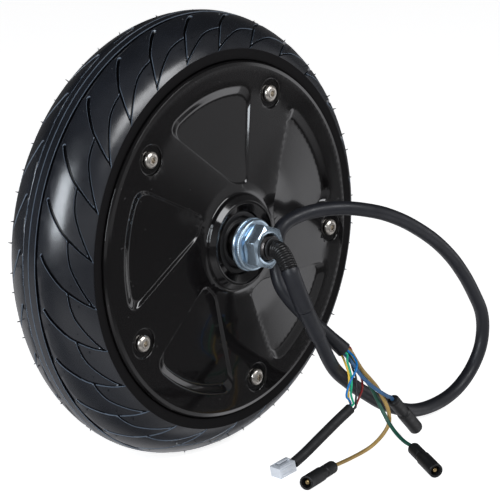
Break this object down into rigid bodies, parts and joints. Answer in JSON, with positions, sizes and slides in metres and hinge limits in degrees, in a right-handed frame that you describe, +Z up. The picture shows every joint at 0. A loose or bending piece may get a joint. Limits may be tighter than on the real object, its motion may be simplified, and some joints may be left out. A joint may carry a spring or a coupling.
{
  "type": "hub motor wheel",
  "caption": "Scooter hub motor wheel: solid tyre on a gloss black motor casing, threaded axle with nuts, and a looped cable ending in phase and sensor wires with connectors.",
  "frame": {"origin": "the wheel's centre: on the axle's axis, midway between the tyre's two sides", "axes": "+Y along the axle towards the rear end; the cable leaves the front end, which faces -Y; +Z is up, and the tyre touches the ground at its lowest point"},
  "size_m": [0.2516, 0.1645, 0.2],
  "materials": {
    "tyre_rubber": "matt black solid rubber with a moulded tread",
    "gloss_black": "gloss black paint over a casting",
    "zinc_plate": "bright blue-white zinc plate",
    "stainless": "bright stainless steel",
    "axle_steel": "dark turned steel",
    "bearing_steel": "ground and polished steel",
    "black_rubber": "satin black rubber",
    "black_sheath": "satin black cable sheath",
    "aluminium": "as cast and machined",
    "lamination": "bare electrical steel",
    "insulator": "off-white moulding",
    "copper": "enamelled copper wire",
    "magnet": "nickel plated",
    "board_green": "green solder resist",
    "phase_yellow": "tan yellow insulation",
    "phase_blue": "blue insulation",
    "phase_green": "dark green insulation",
    "hall_yellow": "yellow insulation",
    "hall_blue": "bright blue insulation",
    "hall_green": "green insulation",
    "hall_black": "black insulation",
    "hall_red": "dark red insulation",
    "connector_black": "soft black plastic",
    "connector_white": "white nylon"
  },
  "bodies": {
    "axle": {"stator_core": "lamination", "stator_carrier": "aluminium", "front_insulator": "insulator", "rear_insulator": "insulator", "winding_phase_a": "copper", "winding_phase_b": "copper", "winding_phase_c": "copper", "hall_board": "board_green", "axle": "axle_steel", "front_inner_race": "bearing_steel", "front_washer": "zinc_plate", "front_lock_washer": "zinc_plate", "front_axle_nut": "zinc_plate", "rear_inner_race": "bearing_steel", "rear_washer": "zinc_plate", "rear_lock_washer": "zinc_plate", "rear_axle_nut": "zinc_plate", "cable_grommet": "black_rubber", "bend_relief": "black_rubber", "stator_leads": "black_sheath", "sleeve_long": "black_sheath", "sleeve_short": "black_sheath", "motor_cable": "black_sheath", "hall_sleeve": "black_sheath", "phase_wire_yellow": "phase_yellow", "bullet_connector_yellow": "connector_black", "phase_wire_blue": "phase_blue", "bullet_connector_blue": "connector_black", "phase_wire_green": "phase_green", "bullet_connector_green": "connector_black", "hall_wire_blue": "hall_blue", "hall_wire_green": "hall_green", "hall_wire_yellow": "hall_yellow", "hall_wire_black": "hall_black", "hall_wire_red": "hall_red", "hall_connector": "connector_white"},
    "wheel": {"wheel_shell": "gloss_black", "tyre": "tyre_rubber", "front_cover": "gloss_black", "cover_screw_1": "stainless", "cover_screw_2": "stainless", "cover_screw_3": "stainless", "cover_screw_4": "stainless", "cover_screw_5": "stainless", "back_iron": "lamination", "magnet_ring": "magnet", "front_outer_race": "bearing_steel", "rear_outer_race": "bearing_steel", "front_seal": "black_rubber", "rear_seal": "black_rubber"},
    "front_ball_cage": {"front_ball_cage": "bearing_steel"},
    "rear_ball_cage": {"rear_ball_cage": "bearing_steel"}
  },
  "joints": [
    {"name": "wheel_spin", "type": "hinge", "parent": "axle", "child": "wheel", "pos_m": [0, 0, 0], "axis": [0, 1, 0], "continuous": true},
    {"name": "front_cage_spin", "type": "hinge", "parent": "axle", "child": "front_ball_cage", "pos_m": [0, -0.0231, 0], "axis": [0, 1, 0], "continuous": true},
    {"name": "rear_cage_spin", "type": "hinge", "parent": "axle", "child": "rear_ball_cage", "pos_m": [0, 0.0231, 0], "axis": [0, 1, 0], "continuous": true}
  ],
  "couplings": [
    {"joint": "front_cage_spin", "follows": "wheel_spin", "ratio": 0.6},
    {"joint": "rear_cage_spin", "follows": "wheel_spin", "ratio": 0.6}
  ]
}
